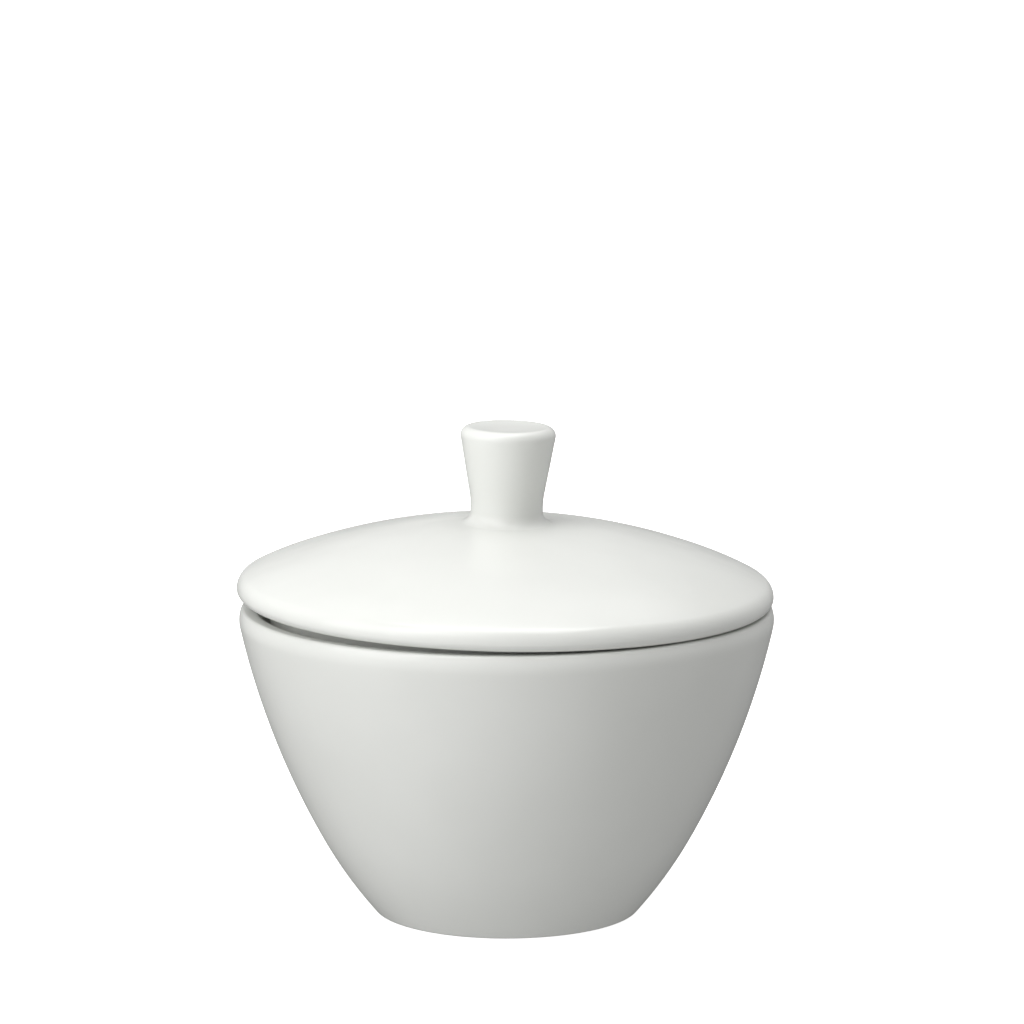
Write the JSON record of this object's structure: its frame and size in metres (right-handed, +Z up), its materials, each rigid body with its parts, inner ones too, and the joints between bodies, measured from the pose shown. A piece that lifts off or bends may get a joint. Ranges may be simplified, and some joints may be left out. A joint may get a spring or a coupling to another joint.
{
  "type": "sugar bowl",
  "caption": "Round white porcelain sugar bowl that flares up from a narrow foot, with a loose domed lid and a tapered knob.",
  "frame": {"origin": "on the bowl's axis, in the plane that the foot stands on", "axes": "+Z up along the bowl's axis; -Y is the side seen in the usual front view"},
  "size_m": [0.1105, 0.1104, 0.1012],
  "materials": {
    "bowl_glaze": "smooth satin off-white glaze, with a bare ring under the foot",
    "lid_glaze": "smooth satin off-white glaze"
  },
  "bodies": {
    "bowl": {"bowl": "bowl_glaze"},
    "lid": {"lid": "lid_glaze"}
  },
  "joints": [
    {"name": "lid_lift", "type": "slide", "parent": "bowl", "child": "lid", "axis": [0, 0, 1], "range_m": [0, 0.06]}
  ]
}
